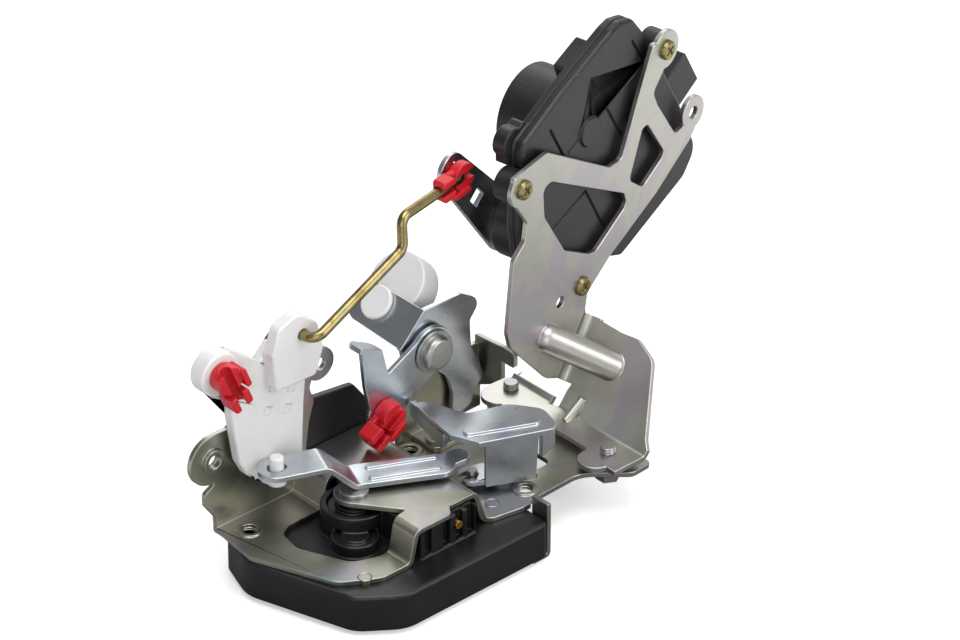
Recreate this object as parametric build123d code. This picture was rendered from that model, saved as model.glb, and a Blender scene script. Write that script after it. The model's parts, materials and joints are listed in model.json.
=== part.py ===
"""Door latch with its power lock actuator, in millimetres.

Layout axes: X runs away from the side flange, Y runs along that flange from its
near end towards the actuator, Z is up and is 0 on the back plate's top face.
The export moves every sub-part so that the origin is the centre of the near
door screw hole on that face.
"""
from build123d import *
from math import acos, atan2, cos, degrees, pi, radians, sin, tan
import os

# ---------------------------------------------------------------- driving sizes
SHEET = 2.0                     # steel sheet of plate, brackets and levers
FACE_SHEET = 1.8                # steel face plate against the door
HOUSING_DEPTH = 14.2            # moulding between face plate and back plate
WALL = 2.5                      # moulded walls of the latch housing
BRIDGE_RISE = 12.0              # back plate bridge above its low level
BEND = 2.5                      # bend radius on the sheet's centre line
RUN_FIT = 0.06                  # radial clearance of a turning pin in its hole
GAP = 0.3                       # clearance between faces that pass each other
ROD_R = 1.9                     # lock rod

DOOR_SCREW_R = 3.0              # M6
SCREW_ROOM = 1.4                # clearance round a door screw inside the housing
BRACKET_SCREW_R = 2.5           # M5
ACTUATOR_SCREW_R = 2.0          # M4 thread-forming

HOLE_NEAR = (8.5, 6.4)          # door screw holes in plan
HOLE_FAR = (9.0, 81.0)
HOLE_END = (54.4, 94.5)         # spare threaded hole of the back plate
STUDS = [(7.6, 131.0), (61.2, 128.0)]

HOUSING_Y = 89.0                # far end of the housing
BRIDGE_Y = (36.0, 70.0)         # middle of the bridge's two step walls
CLAW_PIVOT = (28.5, 37.5)
CLAW_R = 22.5
CLAW_THICK = 7.0
STRIKER_R = 5.5
STRIKER_ARM = 17.5              # claw pivot to the latched striker
CLAW_OPEN = 65.0                # turn of the open claw from latched, degrees
PAWL_PIVOT = (36.0, 76.0)
PIN_R = 4.0

LOCK_PIVOT = (23.6, 45.9)       # Y, Z of the lock lever's stud
LOCK_X = (2.0, 6.5)             # back and front face of the lock lever
EYE_X = (6.0, 11.0)             # back and front face of its rod eye
ROD_EYE = (30.4, 71.5)          # Y, Z of the rod hole
LOBE = (-4.0, 68.2)             # Y, Z of the empty lobe
LOBE_R = 8.2
PEG = (13.8, 15.0)              # X, Y of the peg
PEG_R = 2.5
LINK_HIGH = 25.0                # top of the link at the peg
PIN_HEAD = 1.4                  # head of the claw pin above the bridge
LINK_LOW = BRIDGE_RISE + PIN_HEAD + SHEET       # top of the link over the bridge

RIVET = (90.9, 38.5)            # Y, Z of the lever rivet
RIVET_R = 4.5
BRACKET_X = 2.0                 # back faces of the upright bracket and levers
OUTSIDE_X = 5.3
INSIDE_X = 8.3

RELEASE_PIVOT = (43.5, 93.0)
RELEASE_TOP = 23.5

# actuator frame: u along the bracket face, v up, w out of the face
ACT_ORIGIN = (28.3, 117.5, 101.7)
ACT_TURN = 10.0
COVER_FRONT = -4.0
CASE_SPLIT = -7.5
CASE_BACK = -11.0
MOTOR_BACK = -35.0
MOTOR_R = 18.2
CASE_WALL = 1.6
ARM_FRONT = -28.0               # front face of the output arm
SHAFT = (26.9, -37.8)
SHAFT_R = 5.0
ARM_EYE = (-3.9, -1.0)
GEAR_MODULE = 1.0
PINION_TEETH = 12
SECTOR_TEETH = 70
ACT_SCREWS = [(0.0, 0.0), (83.6, 17.7), (34.6, -56.5)]
SPARE_EAR = (100.9, -16.3)
FACE_LEAN = 38.0                # bracket face 1 leans back from upright
FOOT_FOLD = (135.7, 3.0)        # Y, Z on the leaning face at the foot

FOOT_RIVETS = [(12.0, 90.0), (12.0, 97.0)]      # through bracket foot and back plate
PLATE_RIVETS = [(57.0, 17.0), (53.0, 80.0)]     # through face plate, housing and back plate
PLATE_RIVET_R = 2.4

BACK_BOTTOM = -SHEET
HOUSING_BOTTOM = BACK_BOTTOM - HOUSING_DEPTH
FACE_BOTTOM = HOUSING_BOTTOM - FACE_SHEET
CLAW_Z = HOUSING_BOTTOM + 1.5   # underside of claw and pawl
CAVITY_TOP = CLAW_Z + CLAW_THICK + 0.7


# ---------------------------------------------------------------- frames, helpers
TURN = radians(ACT_TURN)
ACT = Plane(origin=ACT_ORIGIN, x_dir=(-sin(TURN), cos(TURN), 0), z_dir=(cos(TURN), sin(TURN), 0))
LEAN = radians(FACE_LEAN)
FACE1 = Plane(origin=(0, FOOT_FOLD[0], FOOT_FOLD[1]), x_dir=(1, 0, 0), z_dir=(0, -cos(LEAN), sin(LEAN)))
SIDE = Plane(origin=(0, 0, 0), x_dir=(0, 1, 0), z_dir=(1, 0, 0))       # local (Y, Z), normal +X


def outline(*corners):
    """Face from corners (x, y) or (x, y, radius)."""
    points = [(c[0], c[1]) for c in corners]
    radii = [c[2] if len(c) > 2 else 0 for c in corners]
    return make_face(FilletPolyline(*points, radius=radii, close=True))


def slab(plane, profile, low, high):
    """Profile extruded between two offsets of a plane."""
    return extrude(plane.offset(low) * profile, amount=high - low)


def disc(at, r):
    return Pos(at[0], at[1]) * Circle(r)


def bar(a, ra, b, rb):
    """Outline round two discs, as a lever arm between its eyes."""
    return make_hull(disc(a, ra).edges() + disc(b, rb).edges())


def ribbon(plane, low, high, thick, *corners, radius=BEND):
    """Bent sheet: a centre line drawn on a plane, given thickness and width."""
    line = FilletPolyline(*corners, radius=radius)
    return slab(plane, trace(line, line_width=thick), low, high)


def rod_between(a, b, r):
    a, b = Vector(*a), Vector(*b)
    return extrude(Plane(origin=a, z_dir=b - a) * Circle(r), amount=(b - a).length)


# ---------------------------------------------------------------- latch body
def housing_plan():
    """Plan of the moulded housing, straight sides joined by broad corners."""
    return outline(
        (1.2, 1.5, 5), (20, -5.4, 14), (62, 7.5, 12), (73, 22, 14), (73, HOUSING_Y, 3),
        (2, HOUSING_Y, 3), (2, 72, 1), (-5, 72, 1), (-5, 41, 1), (0.5, 41, 1))


def face_plan():
    return outline(
        (3.5, 2.5, 3), (19.5, -3, 9), (60.5, 10, 9), (70, 23, 11), (70, HOUSING_Y - 2, 3),
        (3.5, HOUSING_Y - 2, 3))


MOUTH_Y = CLAW_PIVOT[1] + STRIKER_ARM
MOUTH_END = CLAW_PIVOT[0] + STRIKER_R + 2.0
MOUTH_HALF = STRIKER_R + 1.6


def mouth_plan():
    """Plan of the striker's way in, flared at its entry."""
    return outline(
        (-12, MOUTH_Y - MOUTH_HALF - 4), (-2, MOUTH_Y - MOUTH_HALF - 4), (8, MOUTH_Y - MOUTH_HALF, 6),
        (MOUTH_END, MOUTH_Y - MOUTH_HALF, 6), (MOUTH_END, MOUTH_Y + MOUTH_HALF, 6),
        (8, MOUTH_Y + MOUTH_HALF, 6), (-2, MOUTH_Y + MOUTH_HALF + 4), (-12, MOUTH_Y + MOUTH_HALF + 4))


def lift_pin_place():
    """Pawl's lift pin, on the line between the pawl and release pivots."""
    share = 0.42
    return tuple(p + share * (r - p) for p, r in zip(PAWL_PIVOT, RELEASE_PIVOT))


LIFT_PIN = lift_pin_place()
LIFT_PIN_R = 2.0
PAWL_LIFT = 12.0


def lift_slot():
    """Way of the lift pin through housing roof and back plate."""
    turned = Vector(LIFT_PIN[0] - PAWL_PIVOT[0], LIFT_PIN[1] - PAWL_PIVOT[1]).rotate(Axis.Z, PAWL_LIFT)
    end = (PAWL_PIVOT[0] + turned.X, PAWL_PIVOT[1] + turned.Y)
    return bar(LIFT_PIN, LIFT_PIN_R + 2 * GAP, end, LIFT_PIN_R + 2 * GAP)


def face_plate():
    """Steel plate on the door side, with a lug bent up at the far corner."""
    body = slab(Plane.XY, face_plan(), FACE_BOTTOM, HOUSING_BOTTOM)
    lug_y = HOUSING_Y + GAP + FACE_SHEET / 2
    mid = FACE_BOTTOM + FACE_SHEET / 2
    body += ribbon(SIDE, 63.5, 71.5, FACE_SHEET, (HOUSING_Y - 6, mid), (lug_y, mid), (lug_y, 4), radius=1.15)
    body -= slab(Plane.XY, mouth_plan(), FACE_BOTTOM - 1, HOUSING_BOTTOM + 1)
    for hole in (HOLE_NEAR, HOLE_FAR):
        body -= slab(Plane.XY, disc(hole, DOOR_SCREW_R + 0.4), FACE_BOTTOM - 1, HOUSING_BOTTOM + 1)
    for pin in (CLAW_PIVOT, PAWL_PIVOT):
        body -= slab(Plane.XY, disc(pin, PIN_R), FACE_BOTTOM - 1, HOUSING_BOTTOM + 1)
    for at in PLATE_RIVETS:
        body -= slab(Plane.XY, disc(at, PLATE_RIVET_R), FACE_BOTTOM - 1, HOUSING_BOTTOM + 1)
    return body


SLOT_PIN = (57.0, 5.4)          # Y, Z of the brass pin in the block's side
SLOT_PIN_R = 1.6
SPRING_BOSS_R = 12.0
SPRING_BOSS_TOP = 8.0
BLOCK_TOP = BRIDGE_RISE - SHEET - GAP


def latch_housing():
    """Moulding between the plates: cavity, bosses, block under the bridge, side wall."""
    body = slab(Plane.XY, housing_plan(), HOUSING_BOTTOM, BACK_BOTTOM)
    body = chamfer(body.faces().sort_by(Axis.Z)[-1].outer_wire().edges(), 0.8)
    body += slab(Plane.XY, outline((16, 40), (60.5, 40, 1), (60.5, 66, 1), (16, 66)),
                 BACK_BOTTOM, BLOCK_TOP)
    for y in (43.5, 52.0, 58.0, 63.5):
        rib_gap = Pos(60.5, y) * Rectangle(5, 3.2)
        body -= slab(Plane.XY, rib_gap, BACK_BOTTOM + 0.8, BLOCK_TOP + 1)
    body += slab(Plane.XY, disc(CLAW_PIVOT, SPRING_BOSS_R), BACK_BOTTOM, SPRING_BOSS_TOP)
    body -= slab(Plane.XY, disc(CLAW_PIVOT, SPRING_BOSS_R - 2.5) - disc(CLAW_PIVOT, 6.5),
                 SPRING_BOSS_TOP - 1.5, SPRING_BOSS_TOP + 1)
    front_boss = (38.0, 29.5)
    body += slab(Plane.XY, disc(front_boss, 8.6), BACK_BOTTOM, 2.5)
    body -= slab(Plane.XY, disc(front_boss, 7.4) - disc(front_boss, 5.2), 1.5, 3)
    wall = outline((41, HOUSING_BOTTOM), (71.8, HOUSING_BOTTOM), (71.8, 15), (70.5, 22, 2),
                   (65, 29.5, 2), (43, 32.5, 3), (41, 20))
    body += slab(SIDE, wall, -5, -2.3)
    cavity = outline(
        (4, 11, 3), (14, 4, 5), (58, 11, 8), (69.5, 24, 9), (69.5, HOUSING_Y - 2, 3),
        (15, HOUSING_Y - 2, 3), (15, 73, 2), (4, 73, 2))
    body -= slab(Plane.XY, cavity, HOUSING_BOTTOM - 1, CAVITY_TOP)
    body += slab(Plane.XY, disc(HOLE_NEAR, DOOR_SCREW_R + SCREW_ROOM + 1.4), HOUSING_BOTTOM, CAVITY_TOP)
    for at in PLATE_RIVETS:
        body += slab(Plane.XY, disc(at, PLATE_RIVET_R + 2), HOUSING_BOTTOM, CAVITY_TOP)
        body -= slab(Plane.XY, disc(at, PLATE_RIVET_R), HOUSING_BOTTOM - 1, BACK_BOTTOM + 1)
    body -= slab(Plane.XY, mouth_plan(), HOUSING_BOTTOM - 1, CAVITY_TOP)
    spring_pocket = disc(CLAW_PIVOT, SPRING_BOSS_R - 2.5)
    body -= slab(Plane.XY, spring_pocket, CAVITY_TOP - 1, SPRING_BOSS_TOP - 3)
    body -= slab(Plane.XY, disc(PAWL_PIVOT, 6.4), CAVITY_TOP - 1, BACK_BOTTOM - 1.5)
    for hole in (HOLE_NEAR, HOLE_FAR):
        body -= slab(Plane.XY, disc(hole, DOOR_SCREW_R + SCREW_ROOM), HOUSING_BOTTOM - 1, BACK_BOTTOM + 1)
    for pin in (CLAW_PIVOT, PAWL_PIVOT):
        body -= slab(Plane.XY, disc(pin, PIN_R), HOUSING_BOTTOM - 1, BLOCK_TOP + 1)
    body -= slab(SIDE, disc(SLOT_PIN, SLOT_PIN_R), 52, 70)
    body -= slab(Plane.XY, lift_slot(), HOUSING_BOTTOM, BACK_BOTTOM + 1)
    return body


EAR_NEAR = (-2.5, 28.9)         # Y, Z of the side flange's two ears
EAR_FAR = (47.5, 46.7)


def side_flange():
    profile = outline(
        (-1, -2), (38, -2), (39.5, 8), (42, 25, 8), (44.5, 33, 3), (42.5, 39, 3), (47, 52),
        (38, 58, 8), (20, 58, 9), (9, 43, 6), (5, 38.5, 2), (-2.5, 38.7), (-5, 25), (-1.5, 20),
        (-2, 18, 1), (-6.1, 16, 2), (-6.1, 11, 2), (-1.5, 4.5, 2))
    profile += disc(EAR_NEAR, 9.8) + disc(EAR_FAR, 6.4)
    body = slab(SIDE, profile, -SHEET, 0)
    body += slab(SIDE, disc(EAR_NEAR, 4.6), 0, 1.6)
    body -= slab(SIDE, disc(EAR_NEAR, DOOR_SCREW_R - 0.2), -SHEET - 1, 3)
    body -= slab(SIDE, disc(EAR_FAR, 2.4), -SHEET - 1, 1)
    body -= slab(SIDE, disc(LOCK_PIVOT, PIN_R), -SHEET - 1, 1)
    return body


def back_plate():
    """Zinc plated plate: side flange, low level, raised bridge with its tongue, foot end."""
    low, high = -SHEET / 2, BRIDGE_RISE - SHEET / 2
    near, far = BRIDGE_Y
    plate = ribbon(SIDE, -SHEET, 80, SHEET, (-12, low), (near - 1.5, low), (near + 1.5, high),
                   (far - 1.5, high), (far + 1.5, low), (142, low))
    plan = outline(
        (-SHEET, -1.5, 1), (3, -1.5, 2), (21, -4, 6), (53, 7.5, 10), (61.4, 21, 9), (61.4, 53, 2),
        (57.4, 56, 2), (57.4, 70), (60, 74, 2), (62.4, 87, 2), (62.4, 90, 1), (60.8, 91, 1),
        (60, 116, 12), (72.5, 129.5, 4), (72, 139, 2), (2, 139, 3), (2, 124, 3), (12, 117, 2),
        (4, 112, 6), (-SHEET, 100, 6))
    plate &= slab(Plane.XY, plan, -5, BRIDGE_RISE + 5)
    opening = outline(
        (15.5, 45), (15.5, 19, 2), (18, 13.5, 4), (28, 11.5, 4), (47, 19.5, 8), (51, 30, 6), (48.5, 45))
    plate -= slab(Plane.XY, opening, -5, BRIDGE_RISE + 5)
    ends = disc(CLAW_PIVOT, 7.3).edges() + disc((44.5, 47.5), 6).edges() + disc((23, 49), 5).edges()
    plate += slab(Plane.XY, make_hull(ends), BRIDGE_RISE - SHEET, BRIDGE_RISE)
    window = outline((29, 104, 3), (48, 104, 3), (48, 113, 3), (29, 113, 3))
    plate -= slab(Plane.XY, window, -5, 5)
    for hole in (HOLE_NEAR, HOLE_FAR, HOLE_END):
        plate += slab(Plane.XY, disc(hole, DOOR_SCREW_R + 1.6), -SHEET, 0.6)
        plate -= slab(Plane.XY, disc(hole, DOOR_SCREW_R - 0.2), -5, 2)
    for pin in (CLAW_PIVOT, PAWL_PIVOT):
        plate -= slab(Plane.XY, disc(pin, PIN_R), -5, BRIDGE_RISE + 5)
    plate -= slab(Plane.XY, disc(RELEASE_PIVOT, 3.0), -5, 5)
    for stud in STUDS:
        plate -= slab(Plane.XY, disc(stud, BRACKET_SCREW_R + 0.3), -5, 5)
    for at in FOOT_RIVETS:
        plate -= slab(Plane.XY, disc(at, 2.0), -5, 5)
    for at in PLATE_RIVETS:
        plate -= slab(Plane.XY, disc(at, PLATE_RIVET_R), -5, 5)
    plate -= slab(Plane.XY, lift_slot(), -5, 5)
    return plate + side_flange()


def claw_plan():
    """Forked claw drawn latched: the striker's slot opens along +Y."""
    x, y = CLAW_PIVOT
    plan = disc(CLAW_PIVOT, CLAW_R)
    slot = outline((x - 6.4, y + STRIKER_ARM - 6, 5), (x + 6.4, y + STRIKER_ARM - 6, 5),
                   (x + 7.5, y + 40), (x - 7.5, y + 40))
    notch = outline((x + 13.2, y + 15.0, 1), (x + 30, y + 15), (x + 30, y + 30), (x + 13.2, y + 30))
    trim = outline((x - 40, y - 10), (x - 9, y - 18, 6), (x + 6, y - 40), (x - 40, y - 40))
    return plan - slot - notch - trim


def claw():
    body = slab(Plane.XY, claw_plan(), CLAW_Z, CLAW_Z + CLAW_THICK)
    body -= slab(Plane.XY, disc(CLAW_PIVOT, PIN_R + RUN_FIT), CLAW_Z - 1, CLAW_Z + CLAW_THICK + 1)
    return body.rotate(Axis((CLAW_PIVOT[0], CLAW_PIVOT[1], 0), (0, 0, 1)), CLAW_OPEN)


def pawl_nose():
    """Point of the pawl that rests just clear of the open claw's rim."""
    angle = radians(58)
    reach = CLAW_R + GAP
    return (CLAW_PIVOT[0] + reach * cos(angle), CLAW_PIVOT[1] + reach * sin(angle))


def pawl():
    """Locking pawl with the lift pin that the release lever moves."""
    nose = pawl_nose()
    plan = bar(PAWL_PIVOT, 7.0, (nose[0] + 3.6, nose[1] + 3.4), 3.0) + bar(PAWL_PIVOT, 7.0, LIFT_PIN, LIFT_PIN_R + 0.6)
    plan -= disc(CLAW_PIVOT, CLAW_R + GAP)
    body = slab(Plane.XY, plan, CLAW_Z, CLAW_Z + CLAW_THICK)
    body += slab(Plane.XY, disc(LIFT_PIN, LIFT_PIN_R), CLAW_Z, 6.0)
    body -= slab(Plane.XY, disc(PAWL_PIVOT, PIN_R + RUN_FIT), CLAW_Z - 1, CLAW_Z + CLAW_THICK + 1)
    return body


def claw_pin():
    """Riveted pin from the face plate to the bridge's tongue."""
    body = slab(Plane.XY, disc(CLAW_PIVOT, PIN_R), FACE_BOTTOM, BRIDGE_RISE + 0.4)
    return body + slab(Plane.XY, disc(CLAW_PIVOT, 5.2), BRIDGE_RISE, BRIDGE_RISE + PIN_HEAD)


def pawl_pin():
    return slab(Plane.XY, disc(PAWL_PIVOT, PIN_R), FACE_BOTTOM, 0)


def coil(at, low, wire, mean_r, turns):
    """Round wire coil with a short straight leg at each end."""
    pitch = wire * 2.25
    path = Pos(at[0], at[1], low) * Helix(pitch=pitch, height=pitch * turns, radius=mean_r)
    start = Plane(origin=path @ 0, z_dir=path % 0)
    return sweep(start * Circle(wire), path=path)


def claw_spring():
    return coil(CLAW_PIVOT, CLAW_Z + CLAW_THICK + 0.9, 0.8, 7.4, 4)


def pawl_spring():
    return coil(PAWL_PIVOT, CLAW_Z + CLAW_THICK + 0.7, 0.6, 5.2, 1.25)


def lever_bracket():
    """Upright that carries the rivet, its foot on the plate, its end flange a stop."""
    y, z = RIVET
    upright = outline((84, 0), (119.5, 0), (119.5, 27, 2), (108, 27, 6), (y + 8, z), (y - 8, z), (80, 14, 4), (80, 0))
    upright += disc(RIVET, 8.6)
    body = slab(SIDE, upright, BRACKET_X, BRACKET_X + SHEET)
    body += slab(Plane.XY, outline((BRACKET_X, 86.2), (17, 86.2, 3), (17, 101, 3), (BRACKET_X, 101)), 0, SHEET)
    stop_plane = Plane(origin=(0, 120.5, 0), x_dir=(1, 0, 0), z_dir=(0, -1, 0))
    stop = outline((BRACKET_X, 8), (10, 12, 3), (16, 17, 1), (16, 24.5), (22.5, 24.5, 1), (22.5, 30.5, 1),
                   (17, 31, 1), (14, 30.5), (BRACKET_X, 29.5))
    body += slab(stop_plane, stop, 0, SHEET)
    body -= slab(SIDE, disc(RIVET, RIVET_R), 0, 10)
    for at in FOOT_RIVETS:
        body -= slab(Plane.XY, disc(at, 2.0), -1, 5)
    return body


def bracket_rivets():
    """Two rivets through the lever bracket's foot and the back plate."""
    body = Part()
    for at in FOOT_RIVETS:
        body += slab(Plane.XY, disc(at, 2.0), -SHEET, SHEET + 0.4)
        body += slab(Plane.XY, disc(at, 3.3), SHEET, SHEET + 1.5)
    return body


HEAD_X = INSIDE_X + SHEET + GAP


def lever_rivet():
    """Broad-headed rivet on which both handle levers turn."""
    body = slab(SIDE, disc(RIVET, RIVET_R), 1.0, HEAD_X + 1)
    head = slab(SIDE, disc(RIVET, 6.4), HEAD_X + 0.8, HEAD_X + 4.2)
    head = fillet(head.faces().sort_by(Axis.X)[-1].edges(), 1.6)
    body += head + slab(SIDE, disc(RIVET, 8.1), HEAD_X, HEAD_X + 1.0)
    return body + slab(SIDE, disc(RIVET, 6.5), 0.4, BRACKET_X)


def lever_spacers():
    body = Part()
    for low, high in ((BRACKET_X + SHEET, OUTSIDE_X), (OUTSIDE_X + SHEET, INSIDE_X)):
        body += slab(SIDE, disc(RIVET, 7.6) - disc(RIVET, RIVET_R), low + 0.1, high - 0.1)
    return body


# ---------------------------------------------------------------- handle levers
INSIDE_END = (68.0, 23.0)       # Y, Z of the inside lever's clip hole
CLIP_SHANK = 2.9


def inside_lever():
    """V-shaped lever: eye on the rivet, clip hole below, tab bent back above."""
    profile = bar(RIVET, 9.2, INSIDE_END, 7.2)
    profile += outline((61.5, 26), (59.4, 36), (57.6, 53, 1), (67.4, 49, 1), (70.2, 37.5, 0.6), (84, 44.5),
                       (76, 20), (66, 17))
    body = slab(SIDE, profile, INSIDE_X, INSIDE_X + SHEET)
    top = Plane(origin=(0, 62.5, 51), x_dir=(1, 0, 0), z_dir=Vector(0, 4.2, 9.8))
    tab = outline((1.6, -5.2, 3), (INSIDE_X + SHEET, -5.2), (INSIDE_X + SHEET, 5.2), (4, 5.2, 3))
    body += slab(top, tab, -SHEET, 0)
    relief = outline((80.5, 10), (95, 10), (95, RELEASE_TOP + 0.7), (80.5, RELEASE_TOP + 0.7, 1.5))
    body -= slab(SIDE, relief, 0, 20)
    body -= slab(SIDE, disc(RIVET, RIVET_R + RUN_FIT), 0, 20)
    body -= slab(SIDE, disc(INSIDE_END, CLIP_SHANK + RUN_FIT), 0, 20)
    return body


ARM_MID = (84.1, 48.3)          # Y, Z of the middle of the outside lever's bend
ARM_SLOPE = 46.0
ARM_DIR = (0, cos(radians(ARM_SLOPE)), sin(radians(ARM_SLOPE)))
BENT = Plane(origin=(0, ARM_MID[0], ARM_MID[1]), x_dir=(1, 0, 0),
             z_dir=(0, -ARM_DIR[2], ARM_DIR[1]))
BUSH = (-12.3, 2.2)             # X and place along the bend


def outside_lever():
    """Lever behind it: arm bent back for the handle rod, curved foot, upper horn."""
    y, z = ARM_MID
    half = 8.2
    a = (y - half * ARM_DIR[1], z - half * ARM_DIR[2])
    b = (y + half * ARM_DIR[1], z + half * ARM_DIR[2])
    profile = outline(a, b, (107.5, 53.5, 6), (117, 47.5, 4), (111.5, 41, 3), (112, 30, 4), (116, 22, 4),
                      (118, 14.5, 3), (113.5, 11.5, 2), (112, 5, 4), (102.8, 3.6, 2), (103.3, 14, 3),
                      (101, 21.5, 5), (94, 28.5, 4), (84, 34))
    profile += disc(RIVET, 9.0)
    body = slab(SIDE, profile, OUTSIDE_X, OUTSIDE_X + SHEET)
    arm = outline((-24, -7, 6), (OUTSIDE_X + SHEET, -8.2), (OUTSIDE_X + SHEET, 8.2), (-24, 8.2, 8))
    body += slab(BENT, arm, -SHEET, 0)
    body -= slab(SIDE, disc(RIVET, RIVET_R + RUN_FIT), 0, 20)
    body -= slab(BENT, disc(BUSH, 5.0 + RUN_FIT), -10, 10)
    return body


def outside_bush():
    """Nylon bush in the bent arm, with its offset drum behind."""
    body = slab(BENT, disc(BUSH, 6.4), 0.15, 2.0)
    body += slab(BENT, disc(BUSH, 5.0), -SHEET - 1.0, 0.5)
    drum = disc((BUSH[0], BUSH[1] + 9.5), 12.0)
    body += slab(BENT, drum + disc(BUSH, 7.0), -SHEET - 10.5, -SHEET - 0.3)
    body = fillet(body.faces().sort_by(Axis((0, 0, 0), BENT.z_dir))[0].edges(), 1.2)
    return body


def release_lever():
    """U-shaped lever: ribbed top, flanged arm, front tab down to its pivot and fork."""
    top = outline(
        (10.8, 79, 2), (21, 84.8, 10), (31, 87.5, 5), (36.5, 103, 8), (47, 110, 6), (57, 107, 3),
        (59, 103.6, 1), (48.4, 78.6, 1), (37.4, 74.3, 2))
    body = slab(Plane.XY, top, RELEASE_TOP - SHEET, RELEASE_TOP)
    tab_dir = Vector(8.2, 17.7, 0).normalized()
    tab_plane = Plane(origin=(46.8, 82.8, 0), x_dir=tab_dir, z_dir=(tab_dir.Y, -tab_dir.X, 0))
    tab = outline((0, SHEET + 0.2), (18.6, SHEET + 0.2), (19.6, RELEASE_TOP - 1), (0, RELEASE_TOP - 1))
    body += slab(tab_plane, tab, -SHEET, 0)
    arm_dir = Vector(26.6, -4.7, 0).normalized()
    arm_plane = Plane(origin=(11.4, 79.0, 0), x_dir=arm_dir, z_dir=(arm_dir.Y, -arm_dir.X, 0))
    flange = outline((0, 17, 2), (21.5, 14.2, 2), (22.2, RELEASE_TOP - 0.6), (0, RELEASE_TOP - 0.6))
    body += slab(arm_plane, flange, -SHEET, 0)
    body += slab(SIDE, outline((100.5, 12), (106.5, 14, 2), (106.5, RELEASE_TOP - 1), (100.5, RELEASE_TOP - 1)),
                 55.0, 57.0)
    foot = bar(RELEASE_PIVOT, 6.0, LIFT_PIN, 5.2) + outline(
        (44, 83.5), (46, 83.5), (54.2, 100.8), (50.5, 100.8, 2), (42, 98, 3))
    body += slab(Plane.XY, foot, SHEET, 2 * SHEET)
    inner = (2 * LIFT_PIN[0] - RELEASE_PIVOT[0], 2 * LIFT_PIN[1] - RELEASE_PIVOT[1])
    body -= slab(Plane.XY, bar(LIFT_PIN, LIFT_PIN_R + GAP, inner, LIFT_PIN_R + GAP), SHEET - 1, 2 * SHEET + 1)
    body -= slab(Plane.XY, disc(RELEASE_PIVOT, 3.0 + RUN_FIT), SHEET - 1, 2 * SHEET + 1)
    rib = bar((51, 101.5), 2.4, (41, 80.5), 2.4)
    return body + slab(Plane.XY, rib, RELEASE_TOP, RELEASE_TOP + 0.9)


def release_rivet():
    body = slab(Plane.XY, disc(RELEASE_PIVOT, 3.0), -SHEET - 1.2, 2 * SHEET + 0.6)
    body += slab(Plane.XY, disc(RELEASE_PIVOT, 5.0), 0, SHEET - 0.1)
    body += slab(Plane.XY, disc(RELEASE_PIVOT, 4.6), 2 * SHEET + 0.2, 2 * SHEET + 1.8)
    return body + slab(Plane.XY, disc(RELEASE_PIVOT, 3.6), -SHEET - 1.2, -SHEET)


# ---------------------------------------------------------------- lock train
def lock_lever():
    """White acetal lever: stud bore, rod eye, lobe for a second rod, peg for the link."""
    back, front = LOCK_X
    profile = outline(
        (1.5, 56, 3), (1.5, 47), (4.6, 27.5, 4), (8, 21, 4), (16.5, 13.5, 3), (25, 11.5, 3), (33.2, 19, 3),
        (34.2, 40), (35.5, 53), (34, 66), (20, 70), (16.5, 66.5, 1), (14, 64.5, 1), (6, 67.5, 4))
    profile += bar(LOBE, LOBE_R, (8, 60), 8)
    body = slab(SIDE, profile, back, front)
    body += slab(SIDE, disc(LOBE, LOBE_R), back - 1.2, front + 1.0)
    eye = outline((16.6, 68, 2), (19.5, 77.5, 3), (28.6, 80.8, 6), (37.2, 73.8, 5), (39.8, 62.5, 4), (36, 52.5, 1.5),
                  (18, 53.5, 1.5))
    body += slab(SIDE, eye, *EYE_X)
    y, z = LOCK_PIVOT
    body += slab(SIDE, disc(LOCK_PIVOT, 7.0), GAP, back)
    body -= slab(SIDE, disc(LOCK_PIVOT, PIN_R + RUN_FIT), 0, front - 1.3)
    for dy, dz in ((-2.8, 5.8), (5.3, 2.4), (-5.7, -2.6), (3.3, -5.5)):
        dimple = Pos(y + dy, z + dz) * Rot(0, 0, -22) * Rectangle(3.2, 3.2)
        body -= slab(SIDE, dimple, front - 0.7, front + 1)
    foot_top = LINK_HIGH - SHEET - 1.3
    half = 3.4
    shelf = outline((front - 2, PEG[1] - half), (PEG[0], PEG[1] - half), (PEG[0], PEG[1] + half),
                    (front - 2, PEG[1] + half))
    body += slab(Plane.XY, shelf + disc(PEG, half), foot_top - 3.2, foot_top)
    body += slab(Plane.XY, disc(PEG, PEG_R), foot_top - 1, LINK_HIGH + 4.5)
    body -= slab(SIDE, disc(ROD_EYE, ROD_R + RUN_FIT), 0, 20)
    body -= slab(SIDE, disc(LOBE, CLIP_SHANK + RUN_FIT), 0, 20)
    return body


def lock_stud():
    """Stud riveted in the side flange, blind in the lock lever."""
    body = slab(SIDE, disc(LOCK_PIVOT, PIN_R), -SHEET - 1.4, LOCK_X[1] - 1.7)
    return body + slab(SIDE, disc(LOCK_PIVOT, 6.0), -SHEET - 1.4, -SHEET)


LINK_END = (39.6, 76.5)


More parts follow.
